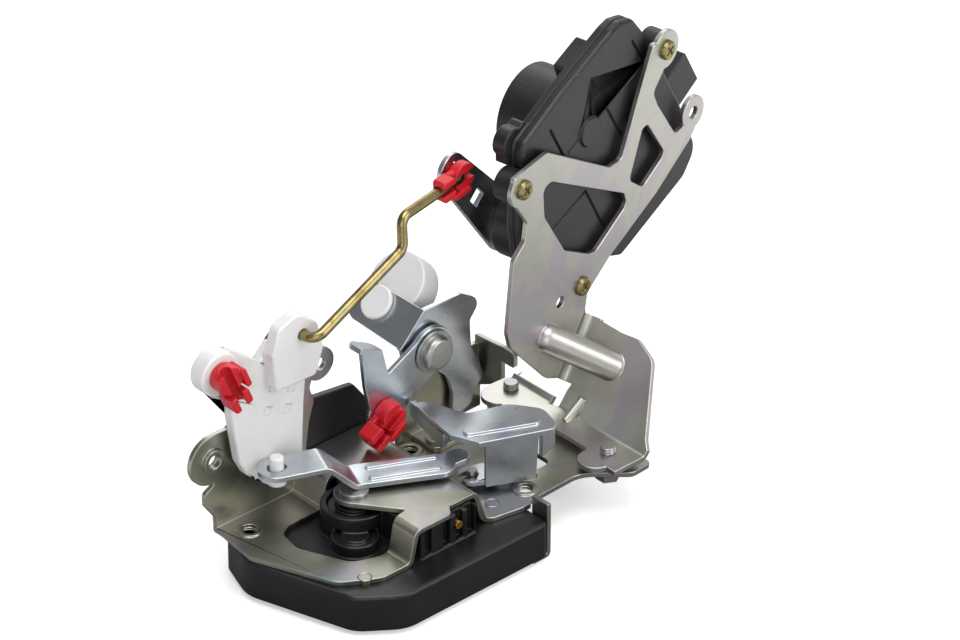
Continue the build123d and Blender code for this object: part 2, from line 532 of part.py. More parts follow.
def lock_link():
    """Ribbed link from the peg down over the bridge to the release lever."""
    run = Vector(LINK_END[0] - PEG[0], LINK_END[1] - PEG[1], 0)
    along = Plane(origin=(PEG[0], PEG[1], 0), x_dir=run.normalized(), z_dir=Vector(run.Y, -run.X, 0))
    mid_high, mid_low = LINK_HIGH - SHEET / 2, LINK_LOW - SHEET / 2
    strip = ribbon(along, -20, 20, SHEET, (-12, mid_high), (17, mid_high), (27, mid_low), (90, mid_low),
                   radius=4)
    plan = bar(PEG, 6.9, (20, 30), 6.9) + bar((20, 30), 6.9, (25.5, 43), 6.6)
    plan += bar((25.5, 43), 6.6, (39, 67), 6.4) + bar((38.5, 67), 4.2, LINK_END, 3.8)
    body = strip & slab(Plane.XY, plan, 0, 40)
    for shift in (-3.0, 3.0):
        a, b = (27.5 + shift, 46 - 0.6 * shift), (38.0 + shift, 67 - 0.6 * shift)
        body += slab(Plane.XY, bar(a, 1.1, b, 1.1), LINK_LOW - 0.5, LINK_LOW + 0.7)
    slot = bar((PEG[0], PEG[1] - 0.6), PEG_R + 0.5, (PEG[0], PEG[1] + 0.6), PEG_R + 0.5)
    return body - slab(Plane.XY, slot, 0, 40)


def act_point(u, v, w):
    return ACT.from_local_coords(Vector(u, v, w))


ROD_HEIGHT = 4.5                # rod above the face of the lever it serves


def rod_route():
    """Corners of the rod, from its bent tail in the lock lever to the output arm."""
    y, z = ROD_EYE
    eye = act_point(ARM_EYE[0], ARM_EYE[1], ARM_FRONT + ROD_HEIGHT)
    tip = act_point(ARM_EYE[0], ARM_EYE[1], ARM_FRONT - SHEET - 1.6)
    return [(-0.3, y - 6.8, z - 6.4), (-0.3, y, z), (17, y, z), (12, 75.7, 87.5), (9.2, 77.7, 98.2),
            tuple(eye), tuple(tip)]


def bent_path(points, radii):
    """Wire through points in space with an arc of the given radius at each corner."""
    points = [Vector(*p) for p in points]
    edges, start = [], points[0]
    for before, at, after, r in zip(points, points[1:], points[2:], radii):
        a, b = (before - at).normalized(), (after - at).normalized()
        half = acos(max(-1, min(1, a.dot(b)))) / 2
        reach = r / tan(half)
        middle = at + (a + b).normalized() * (r / sin(half) - r)
        first, last = at + a * reach, at + b * reach
        edges += [Edge.make_line(start, first), Edge.make_three_point_arc(first, middle, last)]
        start = last
    return Wire(edges + [Edge.make_line(start, points[-1])])


def round_bar(path, r):
    start = Plane(origin=path @ 0, z_dir=path % 0)
    return sweep(start * Circle(r), path=path)


def rod_wire():
    return bent_path(rod_route(), [2.4, 4.2, 4.2, 4.2, 2.8])


def lock_rod():
    return round_bar(rod_wire(), ROD_R)


JAW = 9.5                      # clip's hub to its rod jaw


def rod_clip(plane, base):
    """Red snap clip on a lever face: hub and shank, neck, and a jaw open for the rod.

    The plane's normal is the hole's axis and its x points from the hub to the jaw.
    """
    height = ROD_HEIGHT + ROD_R + 1.0
    body = slab(plane, Circle(5.2), base, height - 1.6)
    body += slab(plane, bar((0, 0), 3.8, (JAW, 0), 3.4), base, base + 2.2)
    body += slab(plane, Pos(JAW, 0) * RectangleRounded(6.4, 8.2, 1.2), base, height)
    body += slab(plane, Circle(CLIP_SHANK), -SHEET - 1.6, base + 1)
    body -= slab(plane, Pos(JAW / 2, 0) * Rectangle(2 * JAW, 2 * ROD_R - 0.8), ROD_HEIGHT, height + 1)
    lane = Plane(origin=plane.from_local_coords(Vector(-8, 0, ROD_HEIGHT)), z_dir=plane.x_dir)
    body -= extrude(lane * Circle(ROD_R + 0.1), amount=30)
    body += slab(plane, Pos(2.5, 5.3) * RectangleRounded(8.5, 2.2, 1.0), base, height - 0.4)
    return body


def turned_plane(plane, at, low, angle):
    """Plane moved to a point and height of another, its x turned by an angle."""
    x_dir = plane.x_dir * cos(radians(angle)) + plane.y_dir * sin(radians(angle))
    return Plane(origin=plane.from_local_coords(Vector(at[0], at[1], low)), x_dir=x_dir, z_dir=plane.z_dir)


def clip_lock():
    return rod_clip(turned_plane(SIDE, LOBE, LOCK_X[1] + 1.0, -68), 0.15)


def clip_inside():
    return rod_clip(turned_plane(SIDE, INSIDE_END, INSIDE_X + SHEET, 213), 0.15)


CLIP_LIFT = 2.0                 # actuator clip's foot above the output arm


def clip_actuator():
    """Clip that holds the rod's end, lined up with the rod."""
    route = rod_route()
    x_dir = (Vector(*route[4]) - Vector(*route[5])).normalized()
    z_dir = x_dir.cross(ACT.z_dir).cross(x_dir).normalized()
    origin = act_point(ARM_EYE[0], ARM_EYE[1], ARM_FRONT)
    body = rod_clip(Plane(origin=origin, x_dir=x_dir, z_dir=z_dir), CLIP_LIFT)
    return body - round_bar(rod_wire(), ROD_R + 0.03)


# ---------------------------------------------------------------- actuator bracket
def fold_point(q):
    """Point on the fold between the leaning face and the actuator face."""
    x = 25.04 - 0.1085 * q
    return Vector(x, FOOT_FOLD[0] + q * sin(LEAN), FOOT_FOLD[1] + q * cos(LEAN))


FOLD_Q = (9.3, 34.5)
FOLD_R = 3.5
FOLD_TRIM = 4.4                 # flat faces start this far from the fold line


def bracket_face_1():
    """Leaning face between foot and actuator face."""
    q0, q1 = FOLD_Q
    profile = outline(
        (fold_point(q0).X + FOLD_TRIM, q0), (28, 6.8, 1.5), (28, 1.5), (72, 1.5), (72, 3), (69.1, 6.2, 2),
        (56, 31.5, 6), (46, 35.5, 5), (38, 34.5), (fold_point(q1).X + FOLD_TRIM, q1))
    return slab(FACE1, profile, -SHEET / 2, SHEET / 2)


def bracket_face_2():
    """Face that carries the actuator, with its ears and two slanted openings."""
    ear_1, ear_2, ear_3 = ACT_SCREWS
    fold = [ACT.to_local_coords(fold_point(q)) for q in FOLD_Q]
    run = (fold[1] - fold[0]).normalized()
    trim = Vector(-run.Y, run.X, 0) * FOLD_TRIM
    low, high = fold[0] + trim, fold[1] + trim
    profile = outline(
        (-8.7, -55.5, 5), (-5.2, -26.9, 4), (1.4, -21.8, 3), (2.3, -14.5, 3), (-5.5, -3, 1), (-5.2, 6.5, 1),
        (14, 8.3, 3), (50.5, -15.2, 3), (57.6, -15.2, 3), (60.6, -9.3, 3), (67.5, 5.9, 2), (76.1, 23.6, 2),
        (88.8, 17.2, 3), (76.2, 3.3, 3), (79, -3, 3), (90, -20, 3), (106.7, -18, 3), (99.2, -26.5, 6),
        (79, -39.4, 8), (51.3, -52.4, 8), (high.X + 1.5, -61.2, 3), (high.X, high.Y), (low.X, low.Y),
        (14.4, -85.5, 5), (-6.8, -62, 5))
    profile += disc(ear_1, 7.0) + disc(ear_2, 7.5) + disc(SPARE_EAR, 6.5)
    body = slab(ACT, profile, -SHEET, 0)
    opening_1 = outline(
        (16.2, -4.6, 3), (59.4, -30.2, 3), (61, -35.6, 3), (42.9, -46.2, 3), (38.4, -45.2, 3),
        (24.4, -37, 4), (12.4, -17.4, 4), (11.5, -5.4, 3))
    opening_2 = outline(
        (72.9, -8, 1.6), (84, -25.2, 3), (70.6, -33, 3), (62.4, -26.3, 3), (69.9, -8.6, 1.6))
    for opening in (opening_1, opening_2, disc((21.9, -57.2), 2.2), disc(SPARE_EAR, 2.4)):
        body -= slab(ACT, opening, -SHEET - 1, 1)
    for ear in ACT_SCREWS:
        body -= slab(ACT, disc(ear, ACTUATOR_SCREW_R + 0.3), -SHEET - 1, 1)
    return body


def bracket_fold():
    """Bend that joins the two faces."""
    low, high = (fold_point(q) for q in FOLD_Q)
    along = (high - low).normalized()
    to_face_1 = Vector(1, 0, 0) - along * along.X
    to_face_2 = -(along.cross(ACT.z_dir))
    to_face_1, to_face_2 = to_face_1.normalized(), to_face_2.normalized()
    corner = low - to_face_1 * (SHEET / 2 / to_face_1.dot(ACT.z_dir))
    plane = Plane(origin=corner, x_dir=to_face_1, z_dir=along)
    a = plane.to_local_coords(corner + to_face_1 * (FOLD_TRIM + 2.5))
    b = plane.to_local_coords(corner + to_face_2 * (FOLD_TRIM + 1.5))
    strip = trace(FilletPolyline((a.X, a.Y), (0, 0), (b.X, b.Y), radius=FOLD_R), line_width=SHEET)
    return slab(plane, strip, 0, (high - low).length)


def bracket_foot():
    """Two-eared foot, its bend and the low strip beside the relief slot."""
    y, z = FOOT_FOLD
    rise = 2.8
    bend = ribbon(SIDE, 3, 72, SHEET, (110, z), (y, z), (y + rise * sin(LEAN), z + rise * cos(LEAN)), radius=3)
    bend -= slab(Plane.XY, outline((18, 100), (55, 100), (55, 124.5, 2), (18, 124.5, 2)), 0, 10)
    bend -= slab(Plane.XY, outline((24, 134), (28, 134), (28, 145), (24, 145)), 0, 12)
    bend -= slab(Plane.XY, outline((0, 100), (80, 100), (80, 121), (0, 121)), 0, 10)
    for x, y in STUDS:
        bend += slab(Plane.XY, bar((x, y), 7.0, (x, y - 6), 6.4), SHEET, 2 * SHEET)
    for stud in STUDS:
        bend -= slab(Plane.XY, disc(stud, BRACKET_SCREW_R), 0, 10)
    return bend


BEAD = [(25.8, 131.7, 33.3), (40.9, 149.6, 20.7)]
BEAD_R = 5.5
DART = [(36, 131.0, 3.2), (36, 139.5, 9.0)]
DART_R = 1.7


def bead(r):
    a, b = BEAD
    ends = Sphere(r).moved(Location(a)) + Sphere(r).moved(Location(b))
    return rod_between(a, b, r) + ends


def actuator_bracket():
    """Folded bracket from the back plate up to the actuator."""
    body = bracket_foot() + bracket_face_1() + bracket_face_2() + bracket_fold()
    front = slab(ACT, Rectangle(300, 300), -SHEET, 60) & slab(FACE1, Rectangle(300, 300), -SHEET / 2, 60)
    body += bead(BEAD_R) & front
    body += rod_between(*DART, DART_R) & front & slab(Plane.XY, Rectangle(400, 400), SHEET, 30)
    return body - bead(BEAD_R - SHEET)


def bracket_screws():
    """Two screws from below with their spacing collars."""
    body = Part()
    for at in STUDS:
        body += slab(Plane.XY, disc(at, BRACKET_SCREW_R), -SHEET - 1, 2 * SHEET + 2.6)
        body += slab(Plane.XY, disc(at, 6.0), 0, SHEET)
        body += slab(Plane.XY, disc(at, 5.4), -SHEET - 1.6, -SHEET)
        body += slab(Plane.XY, Pos(at[0], at[1]) * RegularPolygon(4.0, 6, major_radius=False),
                     -SHEET - 4.6, -SHEET - 1.6)
    return body


# ---------------------------------------------------------------- actuator
PINION_R = GEAR_MODULE * PINION_TEETH / 2
SECTOR_R = GEAR_MODULE * SECTOR_TEETH / 2
MESH_ANGLE = 60.0
MOTOR = (SHAFT[0] + (PINION_R + SECTOR_R) * cos(radians(MESH_ANGLE)),
         SHAFT[1] + (PINION_R + SECTOR_R) * sin(radians(MESH_ANGLE)))
GEAR_W = (-9.0, -6.0)
BOSS_BACK = -9.0
BOSS_R = 6.2


def case_plan():
    return outline(
        (4, 3, 3), (5, 13.5, 4), (26.6, 24.1), (56.5, 36, 6), (61.5, 37.2, 4), (69, 35.4, 5), (75.6, 27, 4),
        (76, 21, 4), (86, 9.5, 4), (98.6, -13.4, 8), (109, -36, 8), (101.5, -44.9, 6), (64, -60, 3),
        (56.5, -57, 4), (34, -61.5, 8), (22, -56, 8), (12, -45, 8), (6, -32, 8), (4, -20, 8))


def screw_discs(r):
    return [disc(at, r) for at in ACT_SCREWS]


def groove(a, b, width):
    return bar(a, width / 2, b, width / 2)


COVER_GROOVES = [((44.4, 22.2), (62.9, -9.5)), ((20.8, 12.5), (28.9, -2.4)), ((36.9, 0.6), (31.7, -1.3)),
                 ((68.6, 26.6), (75.6, 15.7)), ((75.6, 14.8), (48.5, 4.4)), ((23.1, -28.6), (41.6, -22.1)),
                 ((41.6, -22.1), (52.5, -42.1))]
COVER_BOSS = (43.5, 1.5)
BULGE = (26.4, -31.9)           # centre of the round housing behind the gear
BULGE_R = 14.7
BULGE_BACK = -24.0


def actuator_cover():
    """Front half of the casing, behind the bracket's openings."""
    plan = case_plan()
    body = slab(ACT, plan, CASE_SPLIT, COVER_FRONT)
    front = body.faces().sort_by(Axis(ACT.origin, ACT.z_dir))[-1]
    body = chamfer(front.outer_wire().edges(), 0.8)
    body += slab(ACT, disc(COVER_BOSS, 5.5), COVER_FRONT - 0.5, COVER_FRONT + 1.0)
    body -= slab(ACT, offset(plan, amount=-CASE_WALL), CASE_SPLIT - 1, COVER_FRONT - CASE_WALL)
    for a, b in COVER_GROOVES:
        body -= slab(ACT, groove(a, b, 0.6), COVER_FRONT - 0.5, COVER_FRONT + 0.4)
    for spot in screw_discs(BOSS_R + GAP):
        body -= slab(ACT, spot, -40, 10)
    return body


SOCKET_LEAN = 29.4              # socket axis above u, degrees
SOCKET_D = (77.0, 95.0)         # along that axis, closed end and mouth
SOCKET_E = (-67.7, -51.3)       # across it
SOCKET_W = (-20.0, -9.0)
SOCKET_FLOOR = 3.0


def socket_box(inset, start):
    """Block along the socket's axis up to its mouth."""
    plan = outline((start, SOCKET_E[0] + inset), (SOCKET_D[1], SOCKET_E[0] + inset, 0.6),
                   (SOCKET_D[1], SOCKET_E[1] - inset, 0.6), (start, SOCKET_E[1] - inset))
    return slab(ACT, plan.rotate(Axis.Z, SOCKET_LEAN), SOCKET_W[0] + inset, SOCKET_W[1] - inset)


def actuator_case():
    """Rear half: motor can, gear housing, screw bosses, socket shell."""
    plan = case_plan()
    body = slab(ACT, plan, CASE_BACK, CASE_SPLIT)
    back = body.faces().sort_by(Axis(ACT.origin, ACT.z_dir))[0]
    body = chamfer(back.outer_wire().edges(), 0.8)
    for centre, r, low in ((MOTOR, MOTOR_R, MOTOR_BACK), (BULGE, BULGE_R, BULGE_BACK)):
        can = slab(ACT, disc(centre, r), low, CASE_SPLIT - 1)
        end = can.faces().sort_by(Axis(ACT.origin, ACT.z_dir))[0]
        body += fillet(end.edges(), 1.4)
    body += slab(ACT, outline((2, 5, 1), (2, 15, 3), (13, 19.5, 2), (14, 8)), -14, CASE_SPLIT - 1)
    body += slab(ACT, disc((5.6, 12.8), 5.5), -14, CASE_SPLIT - 1)
    body += slab(ACT, outline((39, 26, 1), (53, 31.6, 1), (55, 25.4, 1), (42, 18.4, 1)), -17, CASE_BACK + 1)
    body += socket_box(0, SOCKET_D[0])
    body -= slab(ACT, offset(plan, amount=-CASE_WALL), CASE_BACK + CASE_WALL, CASE_SPLIT + 1)
    for centre, r, low in ((MOTOR, MOTOR_R, MOTOR_BACK), (BULGE, BULGE_R, BULGE_BACK)):
        body -= slab(ACT, disc(centre, r - CASE_WALL), low + CASE_WALL, CASE_BACK + CASE_WALL + 1)
    walls = slab(ACT, plan - offset(plan, amount=-CASE_WALL), CASE_BACK + 1, CASE_SPLIT)
    body += walls & socket_box(-0.1, SOCKET_D[0])
    body -= socket_box(1.8, SOCKET_D[0] + SOCKET_FLOOR)
    for spot in screw_discs(BOSS_R):
        body += slab(ACT, spot, BOSS_BACK, -SHEET)
    for spot in screw_discs(ACTUATOR_SCREW_R):
        body -= slab(ACT, spot, BOSS_BACK + 1.0, 0)
    body += slab(ACT, disc(SHAFT, SHAFT_R + 3), BULGE_BACK, GEAR_W[0] - 0.7)
    return body - slab(ACT, disc(SHAFT, SHAFT_R + RUN_FIT), -40, GEAR_W[0])


def socket_terminals():
    """Flat blades in the socket, in two rows."""
    body = Part()
    e_mid, w_mid = sum(SOCKET_E) / 2, sum(SOCKET_W) / 2
    start = SOCKET_D[0] + SOCKET_FLOOR
    for across in (-3.6, 0, 3.6):
        for row in (-1.6, 1.6):
            blade = outline((start, e_mid + across - 0.9), (start + 7.5, e_mid + across - 0.9, 0.3),
                            (start + 7.5, e_mid + across + 0.9, 0.3), (start, e_mid + across + 0.9))
            body += slab(ACT, blade.rotate(Axis.Z, SOCKET_LEAN), w_mid + row - 0.35, w_mid + row + 0.35)
    return body


def actuator_screws():
    """Three thread-forming screws with low round heads and cross recesses."""
    body = Part()
    for at in ACT_SCREWS:
        body += slab(ACT, disc(at, ACTUATOR_SCREW_R), BOSS_BACK + 1.0, 1)
        head = slab(ACT, disc(at, 3.7), 0, 1.8)
        body += fillet(head.faces().sort_by(Axis(ACT.origin, ACT.z_dir))[-1].edges(), 1.1)
        for turn in (35, 125):
            slot = Pos(at[0], at[1]) * Rot(0, 0, turn) * Rectangle(4.2, 0.9)
            body -= slab(ACT, slot, 0.9, 3)
    return body


def motor():
    """Flat-sided motor can with its end boss."""
    can = disc(MOTOR, MOTOR_R - CASE_WALL - 1.6) & (Pos(*MOTOR) * Rectangle(40, 26))
    body = slab(ACT, can, MOTOR_BACK + CASE_WALL, GEAR_W[0] - 1.5)
    return body + slab(ACT, disc(MOTOR, 1.5), GEAR_W[0] - 2, GEAR_W[1])


def involute(r):
    return tan(r) - r


def tooth_half(r_pitch, teeth, r):
    """Half angle of a tooth at a radius, with running backlash."""
    pressure = radians(20)
    base = r_pitch * cos(pressure)
    at = acos(min(1.0, base / r)) if r > base else 0.0
    return pi / (2 * teeth) + involute(pressure) - involute(at) - 0.06 / r_pitch


def gear_plan(teeth, count, middle, addendum):
    """Plan of a gear or of a toothed arc whose middle tooth or gap points along an angle."""
    pitch_r = GEAR_MODULE * teeth / 2
    root, tip = pitch_r - 1.15 * GEAR_MODULE, pitch_r + addendum * GEAR_MODULE
    radii = [root + (tip - root) * k / 5 for k in range(6)]
    points = []
    for k in range(count):
        centre = radians(middle) + (k - (count - 1) / 2) * 2 * pi / teeth
        flank = [(r, tooth_half(pitch_r, teeth, r)) for r in radii]
        points += [(r * cos(centre - h), r * sin(centre - h)) for r, h in flank]
        points += [(r * cos(centre + h), r * sin(centre + h)) for r, h in reversed(flank)]
    return points


def motor_pinion():
    plan = gear_plan(PINION_TEETH, PINION_TEETH, MESH_ANGLE + 180 + 360 / PINION_TEETH * 5.5, 0.8)
    profile = Pos(*MOTOR) * make_face(Polyline(*plan, close=True))
    profile -= disc(MOTOR, 1.5 + RUN_FIT)
    return slab(ACT, profile, *GEAR_W)


def sector_gear():
    """Toothed sector on the output shaft, a gap facing the pinion at rest."""
    teeth = gear_plan(SECTOR_TEETH, 12, MESH_ANGLE, 0.7)
    web = [(0, 0)] + teeth
    profile = Pos(*SHAFT) * make_face(Polyline(*web, close=True)) + disc(SHAFT, 11.0)
    window = [Pos(*SHAFT) * outline(
        *[(r * cos(radians(MESH_ANGLE + a)), r * sin(radians(MESH_ANGLE + a)), 2)
          for r, a in ((15, -14), (28, -18), (28, 18), (15, 14))])]
    body = slab(ACT, profile, *GEAR_W) - slab(ACT, window[0], -20, 0)
    return body - slab(ACT, disc(SHAFT, SHAFT_R), -20, 0)


def output_shaft():
    """Shaft from the sector through the case to the output arm."""
    body = slab(ACT, disc(SHAFT, SHAFT_R), ARM_FRONT - SHEET, GEAR_W[1] + 0.1)
    body += slab(ACT, disc(SHAFT, SHAFT_R + 2), ARM_FRONT, BULGE_BACK - GAP)
    return body + slab(ACT, disc(SHAFT, 7.2), ARM_FRONT - SHEET - 2.0, ARM_FRONT - SHEET)


def output_lever():
    """Zinc arm from the shaft to the rod's end."""
    profile = bar(SHAFT, 10.0, ARM_EYE, 6.8)
    body = slab(ACT, profile, ARM_FRONT - SHEET, ARM_FRONT)
    body -= slab(ACT, disc(SHAFT, SHAFT_R), -40, 0)
    body -= slab(ACT, disc(ARM_EYE, CLIP_SHANK + 0.7), -40, 0)
    lean = degrees(atan2(ARM_EYE[1] - SHAFT[1], ARM_EYE[0] - SHAFT[0]))
    return body - slab(ACT, Pos(10, -18.3) * Rot(0, 0, lean) * Rectangle(5.5, 5.5), -40, 0)


# ---------------------------------------------------------------- small fixed pieces
def bump_stop():
    """Rubber buffer at the striker's end stop."""
    return slab(Plane.XY, bar((58, 34), 4.0, (58, 46), 4.0), HOUSING_BOTTOM + 0.5, CAVITY_TOP)


def plate_rivets():
    """Rivets through face plate, housing and back plate, flush at both ends."""
    body = Part()
    for at in PLATE_RIVETS:
        body += slab(Plane.XY, disc(at, PLATE_RIVET_R), FACE_BOTTOM, 0)
    return body


def slot_pin():
    """Brass pin pressed in the block under the bridge."""
    return slab(SIDE, disc(SLOT_PIN, SLOT_PIN_R), 52, 61.4)


MAKERS = [
    face_plate, latch_housing, back_plate, claw, pawl, claw_pin, pawl_pin, bump_stop, claw_spring,
    pawl_spring, plate_rivets, slot_pin, lever_bracket, bracket_rivets, lever_rivet, lever_spacers,
    inside_lever, outside_lever, outside_bush, release_lever, release_rivet, lock_lever, lock_stud,
    lock_link, lock_rod, clip_actuator, clip_lock, clip_inside, actuator_bracket, bracket_screws,
    actuator_case, actuator_cover, actuator_screws, socket_terminals, motor, motor_pinion,
    sector_gear, output_shaft, output_lever]

os.makedirs("parts", exist_ok=True)
for maker in MAKERS:
    solid = maker().moved(Location((-HOLE_NEAR[0], -HOLE_NEAR[1], 0)))
    export_step(solid, "parts/" + maker.__name__ + ".step")
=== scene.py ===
# %% [markdown]
# # A door latch and its lock motor
# The latch arrives as a packed set of solids, already in place and in metres. This script dresses
# them: every visible solid gets a softened copy with real edge radii, and each finish is built from
# what the metal or plastic is. Everything stays at the origin, so a pattern in millimetres on one
# piece has the same size on the next.

# %% Load the solids and note their outer box
import json
from math import cos, radians, sin, tau

import bmesh
import bpy
from mathutils import Matrix, Vector

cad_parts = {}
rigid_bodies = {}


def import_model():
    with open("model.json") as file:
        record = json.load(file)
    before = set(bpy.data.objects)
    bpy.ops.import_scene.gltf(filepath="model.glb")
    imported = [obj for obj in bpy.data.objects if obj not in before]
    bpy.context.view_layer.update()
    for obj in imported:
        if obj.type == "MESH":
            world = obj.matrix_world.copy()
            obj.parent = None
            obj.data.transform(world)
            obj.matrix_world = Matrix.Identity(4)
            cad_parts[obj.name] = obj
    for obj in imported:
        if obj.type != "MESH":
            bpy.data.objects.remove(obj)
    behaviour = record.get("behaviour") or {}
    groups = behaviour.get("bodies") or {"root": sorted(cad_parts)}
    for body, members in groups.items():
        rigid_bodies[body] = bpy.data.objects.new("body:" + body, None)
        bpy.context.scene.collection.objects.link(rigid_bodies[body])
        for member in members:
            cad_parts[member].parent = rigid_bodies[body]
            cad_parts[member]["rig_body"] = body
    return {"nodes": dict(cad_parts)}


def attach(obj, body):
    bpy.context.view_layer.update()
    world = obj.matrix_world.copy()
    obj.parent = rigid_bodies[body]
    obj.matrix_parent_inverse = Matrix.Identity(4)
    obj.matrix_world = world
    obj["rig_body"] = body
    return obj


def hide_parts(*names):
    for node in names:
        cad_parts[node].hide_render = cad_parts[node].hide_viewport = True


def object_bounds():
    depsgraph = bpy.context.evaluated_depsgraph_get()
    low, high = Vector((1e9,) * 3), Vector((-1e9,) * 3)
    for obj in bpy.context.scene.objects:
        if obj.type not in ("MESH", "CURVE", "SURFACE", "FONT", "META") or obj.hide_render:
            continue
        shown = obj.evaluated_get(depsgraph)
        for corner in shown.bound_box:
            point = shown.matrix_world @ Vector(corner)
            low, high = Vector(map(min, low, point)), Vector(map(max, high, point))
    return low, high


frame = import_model()
cad_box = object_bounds()
MM = 0.001
ORIGIN = Vector((8.5, 6.4, 0))          # layout millimetres of the row's origin

# %% [markdown]
# ## Finishes
# A colour is written as the sRGB hex value that a designer would read off a sample. Blender's shader
# sockets want linear light, so one function turns a hex value into linear numbers.


# %% Colours and the node helper
def linear(hex_colour):
    """sRGB hex to linear RGBA."""
    channels = [int(hex_colour[i:i + 2], 16) / 255 for i in (1, 3, 5)]
    return [c / 12.92 if c <= 0.04045 else ((c + 0.055) / 1.055) ** 2.4 for c in channels] + [1.0]


def add(tree, kind, settings=None, **inputs):
    """Adds a node. Inputs are values or (node, output name); __ in a name stands for a space."""
    node = tree.nodes.new("ShaderNode" + kind)
    for name, value in (settings or {}).items():
        setattr(node, name, value)
    for name, value in inputs.items():
        key = int(name[1:]) if name[0] == "n" and name[1:].isdigit() else name.replace("__", " ")
        socket = node.inputs[key]
        if isinstance(value, tuple) and hasattr(value[0], "outputs"):
            tree.links.new(value[0].outputs[value[1]], socket)
        else:
            socket.default_value = value
    return node


def ramp(tree, factor, *stops):
    """Colour ramp over (position, hex colour) stops."""
    node = add(tree, "ValToRGB", Fac=factor)
    points = node.color_ramp.elements
    points[0].position, points[0].color = stops[0][0], linear(stops[0][1])
    points[1].position, points[1].color = stops[-1][0], linear(stops[-1][1])
    for place, colour in stops[1:-1]:
        points.new(place).color = linear(colour)
    return node


def material(name):
    """New material with its shader, its tree and object coordinates."""
    mat = bpy.data.materials.new(name)
    mat.use_nodes = True
    tree = mat.node_tree
    shader = tree.nodes["Principled BSDF"]
    place = tree.nodes.new("ShaderNodeTexCoord")
    return mat, tree, shader, (place, "Object")


def wire(tree, node, output, shader, name):
    tree.links.new(node.outputs[output], shader.inputs[name])


# %% [markdown]
# ### Zinc plate
# The pressed sheet is mild steel with a thin coat of electroplated zinc and a clear passivation.
# Zinc is a pale, slightly blue metal; the passivation film is thin enough to tint it with faint
# green, gold and violet patches a few millimetres to a few centimetres wide. The sheet also keeps
# shallow rolling marks and fine handling scratches, which break the reflections up.


# %% Zinc finishes
def zinc(name, base, patches, roughness, patch_mm=22.0, scratch=0.25, grain=(1, 1, 1), cloud=0.5):
    """Plated steel: tinted patches, uneven roughness, fine directional scratches."""
    mat, tree, shader, place = material(name)
    large = add(tree, "TexNoise", Vector=place, Scale=1000 / patch_mm, Detail=3.0, Roughness=0.55,
                Distortion=0.8)
    tint = ramp(tree, (large, "Fac"), *patches)
    fine = add(tree, "TexNoise", Vector=place, Scale=1000 / 3.5, Detail=4.0, Roughness=0.6)
    mix = add(tree, "MixRGB", {"blend_type": "MIX"}, Fac=cloud, Color1=linear(base),
              Color2=(tint, "Color"))
    speck = ramp(tree, (fine, "Fac"), (0.30, "#c4c4c4"), (0.62, "#ffffff"))
    colour = add(tree, "MixRGB", {"blend_type": "MULTIPLY"}, Fac=0.08, Color1=(mix, "Color"),
                 Color2=(speck, "Color"))
    wire(tree, colour, "Color", shader, "Base Color")
    shader.inputs["Metallic"].default_value = 1.0
    rough = add(tree, "MapRange", Value=(fine, "Fac"), n1=0.25, n2=0.75, n3=roughness,
                n4=roughness + 0.02)
    wire(tree, rough, "Result", shader, "Roughness")
    stretch = add(tree, "Mapping", Vector=place, Scale=grain)
    lines = add(tree, "TexNoise", Vector=(stretch, "Vector"), Scale=900.0, Detail=2.0, Roughness=0.5)
    dents = add(tree, "TexNoise", Vector=place, Scale=60.0, Detail=1.0)
    height = add(tree, "Math", {"operation": "MULTIPLY_ADD"}, n0=(lines, "Fac"), n1=scratch,
                 n2=(dents, "Fac"))
    bump = add(tree, "Bump", Height=(height, "Value"), Strength=0.10, Distance=0.00022)
    wire(tree, bump, "Normal", shader, "Normal")
    return mat


PLATE_ZINC = zinc(
    "electroplated zinc, passivated plate", "#a5a59c",
    [(0.30, "#94998e"), (0.42, "#a8a898"), (0.52, "#b2afa6"), (0.60, "#a5a0ac"), (0.72, "#94a4a2")],
    0.32, 26, 0.06, (1, 0.12, 1), 0.7)
BRACKET_ZINC = zinc(
    "electroplated zinc, clear bracket", "#bfc0b9",
    [(0.33, "#b1b5ab"), (0.5, "#c4c2b9"), (0.6, "#bcb1bd"), (0.7, "#b0bbb8")],
    0.34, 34, 0.06, (1, 1, 0.15), 0.7)
LEVER_ZINC = zinc(
    "bright zinc, blue passivated lever", "#c6cbd0",
    [(0.35, "#b9c2cb"), (0.5, "#cfd2d3"), (0.65, "#bcc4d2")], 0.27, 18, 0.02, (1, 0.2, 1), 0.6)
BRUSHED_ZINC = zinc(
    "zinc with drawn press marks", "#bfc1c0", [(0.35, "#a9abab"), (0.6, "#cfd0ce")], 0.30, 9, 2.4,
    (1, 1, 0.04), 0.6)
PIN_STEEL = zinc(
    "turned steel rivet", "#a9aaa8", [(0.35, "#989a98"), (0.65, "#b9b9b5")], 0.33, 8, 0.4)
ROD_ZINC = zinc(
    "yellow chromate steel", "#8f8158", [(0.32, "#786a44"), (0.5, "#9c8f62"), (0.66, "#8a8064")],
    0.24, 7, 0.3, (1, 1, 1), 0.8)
BRASS = zinc("brass", "#c69a4c", [(0.35, "#b58a42"), (0.65, "#d3ab62")], 0.28, 5, 0.3)
TINNED = zinc("tinned bronze", "#c9c3b0", [(0.35, "#bab49f"), (0.65, "#d4cfbd")], 0.3, 6, 0.3)


# %% [markdown]
# ### Mouldings
# The housing and the motor case are black glass-filled nylon and polypropylene: dark, a little
# uneven in gloss where the tool was polished and where the part has been handled. The lock lever is
# natural acetal, milky and slightly translucent; the clips are dyed acetal.


# %% Plastic finishes
SCUFFED = "#8a8a88"                     # black plastic where it has been rubbed pale


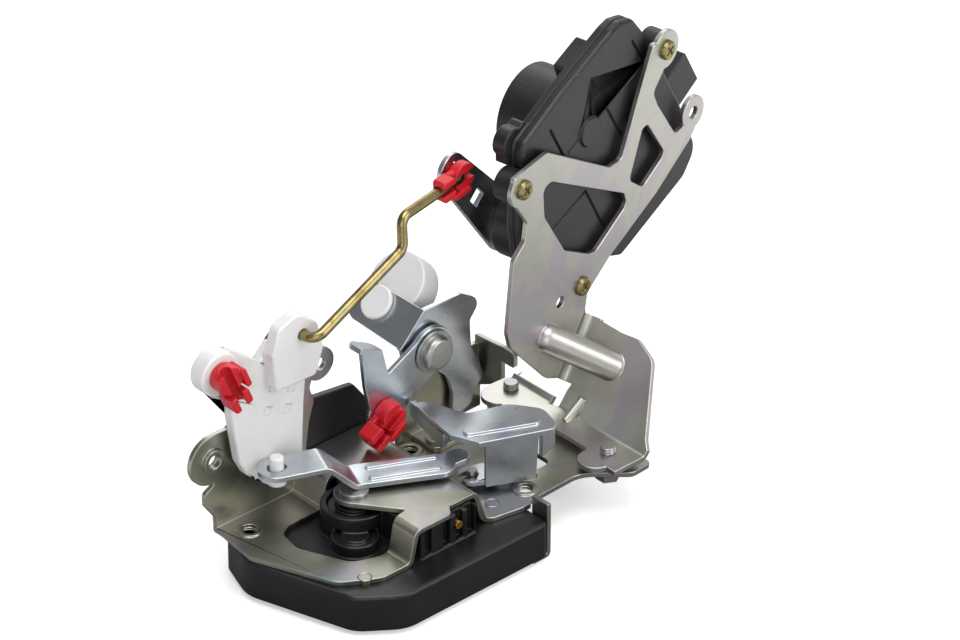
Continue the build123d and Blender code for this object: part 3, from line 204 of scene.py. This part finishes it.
def moulding(name, colours, roughness, grit_mm=0.6, relief=0.10, scuffs=0.0, milky=0.0, ior=1.5):
    """Moulded plastic: faint colour drift, uneven gloss, spark-eroded grit, optional scuffs."""
    mat, tree, shader, place = material(name)
    drift = add(tree, "TexNoise", Vector=place, Scale=45.0, Detail=3.0)
    tint = ramp(tree, (drift, "Fac"), *colours)
    stretch = add(tree, "Mapping", Vector=place, Rotation=(0.5, 0.3, 0.7), Scale=(1, 0.06, 1))
    marks = add(tree, "TexNoise", Vector=(stretch, "Vector"), Scale=1500.0, Detail=3.0, Roughness=0.6)
    thin = ramp(tree, (marks, "Fac"), (0.62, "#000000"), (0.72, "#ffffff"))
    where = ramp(tree, (drift, "Fac"), (0.48, "#000000"), (0.66, "#ffffff"))
    worn = add(tree, "MixRGB", {"blend_type": "MULTIPLY"}, Fac=1.0, Color1=(thin, "Color"),
               Color2=(where, "Color"))
    amount = add(tree, "Math", {"operation": "MULTIPLY"}, n0=(worn, "Color"), n1=scuffs)
    colour = add(tree, "MixRGB", Fac=(amount, "Value"), Color1=(tint, "Color"),
                 Color2=linear(SCUFFED))
    wire(tree, colour, "Color", shader, "Base Color")
    grit = add(tree, "TexNoise", Vector=place, Scale=1000 / grit_mm, Detail=2.0)
    rough = add(tree, "MapRange", Value=(drift, "Fac"), n1=0.3, n2=0.7, n3=roughness - 0.06,
                n4=roughness + 0.08)
    wire(tree, rough, "Result", shader, "Roughness")
    bump = add(tree, "Bump", Height=(grit, "Fac"), Strength=relief, Distance=0.0002)
    wire(tree, bump, "Normal", shader, "Normal")
    shader.inputs["IOR"].default_value = ior
    if milky:
        shader.inputs["Subsurface Weight"].default_value = milky
        shader.inputs["Subsurface Radius"].default_value = (0.0022, 0.0018, 0.0014)
        shader.inputs["Subsurface Scale"].default_value = 1.0
    return mat


HOUSING_NYLON = moulding(
    "glass-filled nylon housing", [(0.35, "#101011"), (0.65, "#171719")], 0.34, 0.7, 0.12, 0.10)
CASE_PLASTIC = moulding(
    "black polypropylene case", [(0.35, "#141416"), (0.65, "#1c1c1e")], 0.38, 0.5, 0.10, 0.22)
WHITE_ACETAL = moulding(
    "natural acetal", [(0.35, "#dcdcdc"), (0.65, "#e6e6e6")], 0.34, 1.2, 0.05, 0.0, 0.35, 1.48)
RED_ACETAL = moulding(
    "red acetal clip", [(0.35, "#b81320"), (0.65, "#cf1f2b")], 0.30, 1.0, 0.05, 0.0, 0.12, 1.48)
GEAR_NYLON = moulding(
    "natural nylon gear", [(0.35, "#ddd6c2"), (0.65, "#e6e0cf")], 0.42, 0.8, 0.05, 0.0, 0.2, 1.5)
BUFFER_RUBBER = moulding(
    "moulded rubber buffer", [(0.35, "#161616"), (0.65, "#1e1e1e")], 0.62, 0.5, 0.2, 0.0, 0.0, 1.5)

# %% [markdown]
# ## Softened solids
# A pressed or moulded edge is never razor sharp: sheet has a rolled edge of a few tenths and a
# moulding a radius from its tool. Each visible solid is copied, its loose triangles are merged and
# its flats cleared, and a narrow bevel then follows its sharp edges. The copy stands for the solid.


# %% Copy, clean and bevel
def softened(node, finish, edge_mm, angle=32.0, segments=2, second=None, chosen=None):
    """Merged copy of a solid with a bevel on its sharp edges; chosen faces take the second finish."""
    solid = frame["nodes"][node]
    mesh = solid.data.copy()
    mesh.name = node + ".soft"
    bm = bmesh.new()
    bm.from_mesh(mesh)
    bmesh.ops.remove_doubles(bm, verts=bm.verts, dist=0.004 * MM)
    bmesh.ops.dissolve_limit(bm, angle_limit=radians(0.6), verts=bm.verts, edges=bm.edges)
    for face in bm.faces:
        face.smooth = True
        face.material_index = 1 if chosen and chosen(face) else 0
    for edge in bm.edges:
        edge.smooth = len(edge.link_faces) == 2 and edge.calc_face_angle(0) < radians(angle)
    bm.to_mesh(mesh)
    bm.free()
    mesh.materials.clear()
    mesh.materials.append(finish)
    if second:
        mesh.materials.append(second)
    piece = bpy.data.objects.new(node + ".soft", mesh)
    bpy.context.scene.collection.objects.link(piece)
    bevel = piece.modifiers.new("edge radius", "BEVEL")
    bevel.width = edge_mm * MM
    bevel.segments = segments
    bevel.limit_method = "ANGLE"
    bevel.angle_limit = radians(angle)
    bevel.use_clamp_overlap = False
    flat = piece.modifiers.new("flat faces", "WEIGHTED_NORMAL")
    flat.mode = "FACE_AREA"
    flat.weight = 100
    flat.keep_sharp = True
    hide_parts(node)
    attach(piece, solid["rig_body"])
    return piece


FINISHES = [
    (PLATE_ZINC, 0.25, ["face_plate", "back_plate", "lever_bracket", "plate_rivets"]),
    (BRACKET_ZINC, 0.25, ["actuator_bracket"]),
    (LEVER_ZINC, 0.25, ["inside_lever", "outside_lever", "release_lever", "lock_link", "output_lever"]),
    (PIN_STEEL, 0.2, ["claw", "pawl", "claw_pin", "pawl_pin", "bracket_rivets", "lever_spacers",
                      "lever_rivet", "release_rivet", "lock_stud", "bracket_screws", "output_shaft"]),
    (HOUSING_NYLON, 0.4, ["latch_housing"]),
    (CASE_PLASTIC, 0.45, ["actuator_case", "actuator_cover"]),
    (WHITE_ACETAL, 0.6, ["lock_lever", "outside_bush"]),
    (RED_ACETAL, 0.3, ["clip_actuator", "clip_lock", "clip_inside"]),
    (ROD_ZINC, 0.15, ["lock_rod", "actuator_screws"]),
    (BRASS, 0.1, ["slot_pin", "motor_pinion"]),
    (TINNED, 0.1, ["socket_terminals"]),
    (PIN_STEEL, 0.2, ["motor", "claw_spring", "pawl_spring"]),
    (GEAR_NYLON, 0.1, ["sector_gear"]),
    (BUFFER_RUBBER, 0.4, ["bump_stop"]),
]
HIDDEN = {"motor", "motor_pinion", "sector_gear", "bump_stop", "claw_spring", "pawl_spring",
          "socket_terminals"}
TAB_NORMAL = Vector((17.7, -8.2, 0)).normalized()
TAB_AREA = 150 * MM * MM                # smaller faces that look the same way are not the tab


def on_tab(face):
    """Front face of the release lever's pressed tab."""
    return face.normal.dot(TAB_NORMAL) > 0.98 and face.calc_area() > TAB_AREA


for finish, edge, nodes in FINISHES:
    for node in nodes:
        if node == "release_lever":
            softened(node, finish, edge, second=BRUSHED_ZINC, chosen=on_tab)
        elif node in HIDDEN:
            frame["nodes"][node].data.materials.clear()
            frame["nodes"][node].data.materials.append(finish)
        else:
            softened(node, finish, edge)

# %% [markdown]
# ## Screw threads
# The solids carry plain cylinders at thread size. Here the studs get a rolled ISO thread and the
# tapped holes a cut one: a helical ridge whose height fades at both ends. The ridge climbs round
# the axis, so its rings are built row by row, each a little further along the helix.


# %% Threads
def row(x, y, z):
    """Layout millimetres to the row's metres."""
    return (Vector((x, y, z)) - ORIGIN) * MM


def frame_at(origin, z_dir):
    """Matrix whose z follows a direction, in row metres."""
    turn = Vector(z_dir).normalized().to_track_quat("Z", "Y").to_matrix().to_4x4()
    return Matrix.Translation(origin) @ turn


def thread(name, place, core, crest, length, pitch, body, finish, steps=40):
    """Helical ridge round an axis: crest beyond core for a screw, inside it for a tapped hole."""
    bm = bmesh.new()
    rows = int(length / pitch * 8) + 1
    rings = []
    for i in range(rows):
        height = length * i / (rows - 1)
        runout = min(1.0, height / (0.6 * pitch), (length - height) / (0.6 * pitch))
        ring = []
        for k in range(steps):
            turn = k / steps
            phase = (height / pitch - turn) % 1.0
            flank = max(0.0, 1.0 - abs(phase - 0.5) * 2.6)
            radius = core + (crest - core) * min(1.0, flank * 1.3) * runout
            angle = tau * turn
            ring.append(bm.verts.new((radius * cos(angle) * MM, radius * sin(angle) * MM, height * MM)))
        rings.append(ring)
    for under, over in zip(rings, rings[1:]):
        for k in range(steps):
            bm.faces.new((under[k], under[(k + 1) % steps], over[(k + 1) % steps], over[k]))
    for face in bm.faces:
        face.smooth = True
    if crest < core:
        bmesh.ops.reverse_faces(bm, faces=bm.faces)
    mesh = bpy.data.meshes.new(name)
    bm.to_mesh(mesh)
    bm.free()
    mesh.transform(place)
    mesh.materials.append(finish)
    piece = bpy.data.objects.new(name, mesh)
    bpy.context.scene.collection.objects.link(piece)
    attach(piece, body)
    return piece


STUDS = ((7.6, 131.0), (61.2, 128.0))
STUD_FOOT, STUD_LENGTH, STUD_CORE, STUD_CREST, STUD_PITCH = 1.6, 4.9, 2.5, 2.82, 0.95
for k, at in enumerate(STUDS):
    thread("stud_thread_%d" % k, frame_at(row(at[0], at[1], STUD_FOOT), (0, 0, 1)),
           STUD_CORE, STUD_CREST, STUD_LENGTH, STUD_PITCH, "frame", PIN_STEEL)
HOLE_CORE, HOLE_CREST, HOLE_PITCH = 2.84, 2.45, 0.9
TAPPED = [((8.5, 6.4, -2.0), (0, 0, 1), 2.0), ((9.0, 81.0, -2.0), (0, 0, 1), 2.0),
          ((54.4, 94.5, -2.0), (0, 0, 1), 2.0), ((-2.0, -2.5, 28.9), (1, 0, 0), 2.0)]
for k, (at, axis, depth) in enumerate(TAPPED):
    thread("tapped_%d" % k, frame_at(row(*at), axis), HOLE_CORE, HOLE_CREST, depth, HOLE_PITCH,
           "frame", PLATE_ZINC)

# %% [markdown]
# ## Floor, light and camera
# The piece stands on a white sweep under a big soft overhead light, with panels at the back left,
# the right and the front that draw highlights along the sheet's edges. To the camera the sweep
# glows white; to the metal it is a floor with painted shade, dark round the piece and pale further
# out, so that zinc reflects greys and keeps its form.
# The camera looks down from the near right with a long lens, which keeps parallel edges parallel.


# %% Floor
FLOOR_Z = cad_box[0][2]                 # lowest point of the solids
bm = bmesh.new()
bmesh.ops.create_grid(bm, x_segments=1, y_segments=1, size=6.0)
floor_mesh = bpy.data.meshes.new("floor")
bm.to_mesh(floor_mesh)
bm.free()
floor_mesh.transform(Matrix.Translation((0, 0, FLOOR_Z)))
floor = bpy.data.objects.new("floor", floor_mesh)
bpy.context.scene.collection.objects.link(floor)
paper, tree, shader, place = material("white paper sweep")
shader.inputs["Base Color"].default_value = (0.86, 0.86, 0.86, 1)
shader.inputs["Roughness"].default_value = 0.9
seen = add(tree, "LightPath")
glow = add(tree, "Emission", Color=(1, 1, 1, 1), Strength=0.42)
both = add(tree, "AddShader", n0=(shader, "BSDF"), n1=(glow, "Emission"))
# Painted shade: to every ray but the camera's the floor is darkened round the piece, 0.22 within 70 mm
# rising to 0.92 beyond 300 mm.
spot = add(tree, "VectorMath", {"operation": "DISTANCE"}, n0=place, n1=(0.03, 0.09, FLOOR_Z))
painted_floor_shade = add(tree, "MapRange", {"interpolation_type": "SMOOTHSTEP"}, Value=(spot, "Value"),
            n1=0.07, n2=0.30, n3=0.22, n4=0.92)
shaded_reflection_floor = add(tree, "BsdfDiffuse", Color=(painted_floor_shade, "Result"))
pick = add(tree, "MixShader", Fac=(seen, "Is Camera Ray"), n1=(shaded_reflection_floor, "BSDF"), n2=(both, "Shader"))
tree.links.new(pick.outputs[0], tree.nodes["Material Output"].inputs["Surface"])
floor_mesh.materials.append(paper)


# %% Lights
def panel(name, at, aim, size, watts, tall=None):
    light = bpy.data.lights.new(name, "AREA")
    light.energy = watts
    light.shape = "RECTANGLE"
    light.size, light.size_y = size, tall or size
    lamp = bpy.data.objects.new(name, light)
    lamp.location = at
    lamp.rotation_euler = (Vector(aim) - Vector(at)).to_track_quat("-Z", "Y").to_euler()
    bpy.context.scene.collection.objects.link(lamp)
    return lamp


CENTRE = Vector((0.0115, 0.0982, 0.0498))
panel("overhead softbox", (0.15, 0.0, 1.5), CENTRE, 1.1, 13)
panel("back left sheet", (-1.0, 0.9, 0.9), CENTRE, 0.9, 4, 0.9)
panel("right strip", (1.1, 0.5, 0.6), CENTRE, 0.6, 5, 1.0)
panel("front fill", (0.9, -0.9, 0.6), CENTRE, 0.8, 3)
world = bpy.data.worlds.new("studio")
bpy.context.scene.world = world
world.use_nodes = True
sky = world.node_tree
air = sky.nodes["Background"]
air.inputs["Color"].default_value = (1, 1, 1, 1)
look = add(sky, "TexCoord")
DARK_SIDE = (-0.62, -0.64, 0.45)        # the room is dimmer this way, which shades upright sheet
toward = add(sky, "VectorMath", {"operation": "DOT_PRODUCT"}, n0=(look, "Generated"), n1=DARK_SIDE)
dim = add(sky, "MapRange", {"interpolation_type": "SMOOTHSTEP"}, Value=(toward, "Value"),
          n1=0.35, n2=0.95, n3=0.60, n4=0.20)
sky.links.new(dim.outputs["Result"], air.inputs["Strength"])
white = add(sky, "Background", Color=(1, 1, 1, 1), Strength=1.0)
rays = add(sky, "LightPath")
choose = add(sky, "MixShader", Fac=(rays, "Is Camera Ray"), n1=(air, "Background"),
             n2=(white, "Background"))
sky.links.new(choose.outputs[0], sky.nodes["World Output"].inputs["Surface"])
bpy.context.scene.view_settings.view_transform = "Standard"

# %% Camera
AZIMUTH, ELEVATION = radians(47.5), radians(32.4)
LENS = 250.0
FRAME_MM = 336.8                        # width of the view at the object's middle
back = Vector((sin(AZIMUTH) * cos(ELEVATION), -cos(AZIMUTH) * cos(ELEVATION), sin(ELEVATION)))
lens = bpy.data.cameras.new("view")
lens.lens = LENS
lens.sensor_width = 36.0
lens.clip_end = 20.0
camera = bpy.data.objects.new("view", lens)
camera.location = CENTRE + back * (FRAME_MM * MM * LENS / lens.sensor_width)
camera.rotation_euler = (-back).to_track_quat("-Z", "Y").to_euler()
bpy.context.scene.collection.objects.link(camera)
bpy.context.scene.camera = camera
